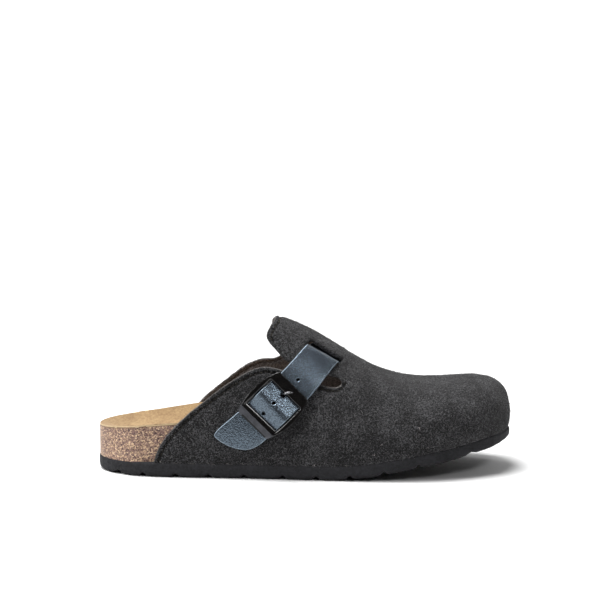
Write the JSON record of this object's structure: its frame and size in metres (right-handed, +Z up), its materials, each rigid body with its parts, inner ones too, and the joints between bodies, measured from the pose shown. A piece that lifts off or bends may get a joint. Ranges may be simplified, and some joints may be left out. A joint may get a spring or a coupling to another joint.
{
  "type": "felt clog",
  "caption": "Backless felt clog for the right foot with a cork footbed, a moulded sole with toe spring, and a leather strap with a buckle across the instep.",
  "frame": {"origin": "middle of the bounding box at the floor, under the waist of the shoe", "axes": "+X towards the toe, +Y towards the inner side of the foot, +Z up"},
  "size_m": [0.2621, 0.0988, 0.0974],
  "materials": {
    "outsole": "matte moulded EVA foam",
    "footbed": "pressed cork granules",
    "insole": "tan suede",
    "upper": "thick wool felt, brushed",
    "strap": "smooth leather, satin",
    "buckle_frame": "gloss black",
    "buckle_prong": "gloss black"
  },
  "bodies": {
    "root": {"outsole": "outsole", "footbed": "footbed", "insole": "insole", "upper": "upper", "strap": "strap", "buckle_frame": "buckle_frame", "buckle_prong": "buckle_prong"}
  },
  "joints": []
}
